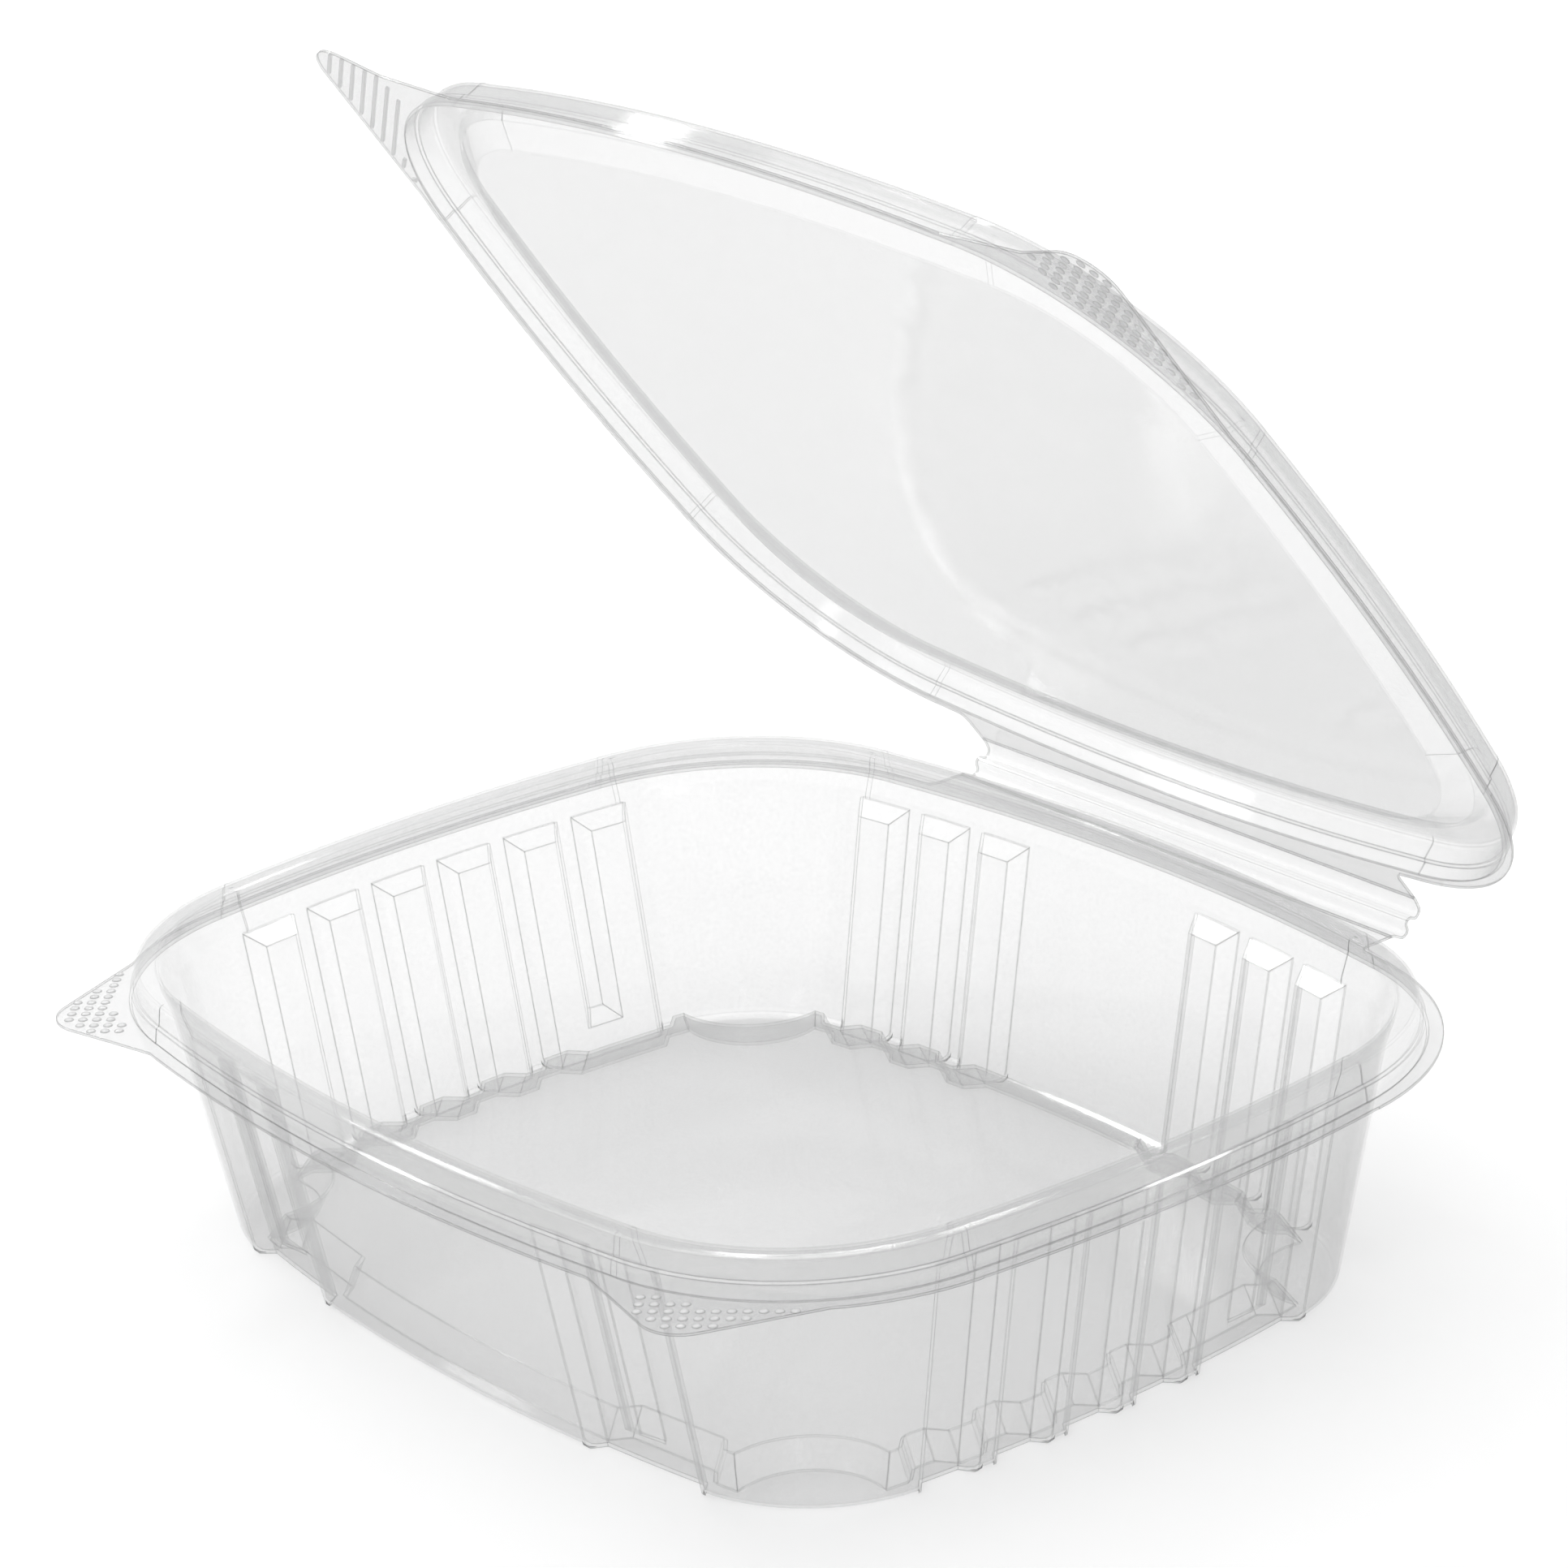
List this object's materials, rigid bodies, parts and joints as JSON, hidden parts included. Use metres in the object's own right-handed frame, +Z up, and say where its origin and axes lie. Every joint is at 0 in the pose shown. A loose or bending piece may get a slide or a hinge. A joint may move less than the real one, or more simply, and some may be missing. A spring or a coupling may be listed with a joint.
{
  "type": "hinged deli container",
  "caption": "Clear hinged food container: fluted tray with a raised floor and a beaded rim, finger tabs, and a recessed lid that turns on a pleated strip hinge.",
  "frame": {"origin": "middle of the standing container's width and depth with the lid open as in the picture, at the level of the feet", "axes": "+X along the hinge, +Y from the front tabs to the hinge, +Z up"},
  "size_m": [0.184, 0.1654, 0.1722],
  "materials": {
    "clear_sheet": "clear gloss"
  },
  "bodies": {
    "tray": {"tray": "clear_sheet", "hinge_strip": "clear_sheet"},
    "lid": {"lid": "clear_sheet"}
  },
  "joints": [
    {"name": "lid_hinge", "type": "hinge", "parent": "tray", "child": "lid", "pos_m": [0, 0.08282, 0.0365], "axis": [-1, 0, 0], "range_deg": [-53.5, 126.5], "deforming": ["hinge_strip"]}
  ]
}
